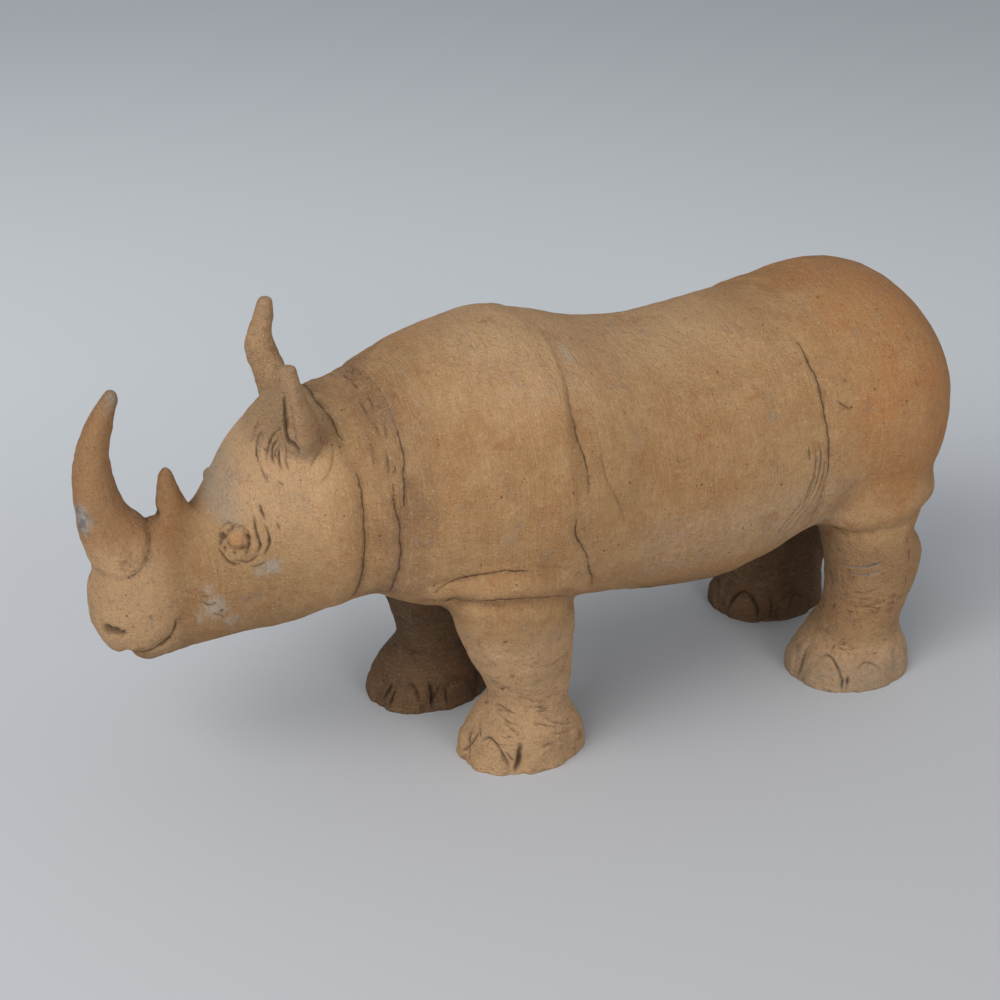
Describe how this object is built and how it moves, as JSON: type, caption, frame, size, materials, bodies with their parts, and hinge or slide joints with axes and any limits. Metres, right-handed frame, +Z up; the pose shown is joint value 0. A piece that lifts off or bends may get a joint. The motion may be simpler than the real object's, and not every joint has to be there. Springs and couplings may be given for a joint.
{
  "type": "rhinoceros figurine",
  "caption": "Standing rhinoceros figurine in matt fired clay, with a large front horn, a small second horn and folded skin.",
  "frame": {"origin": "middle of the bounding box in plan, at the height of the soles", "axes": "-Y towards the nose, +X towards the animal's left, +Z up"},
  "size_m": [0.1488, 0.4634, 0.2383],
  "materials": {
    "terracotta": "matt, gritty, unglazed"
  },
  "bodies": {
    "root": {"rhinoceros": "terracotta"}
  },
  "joints": []
}
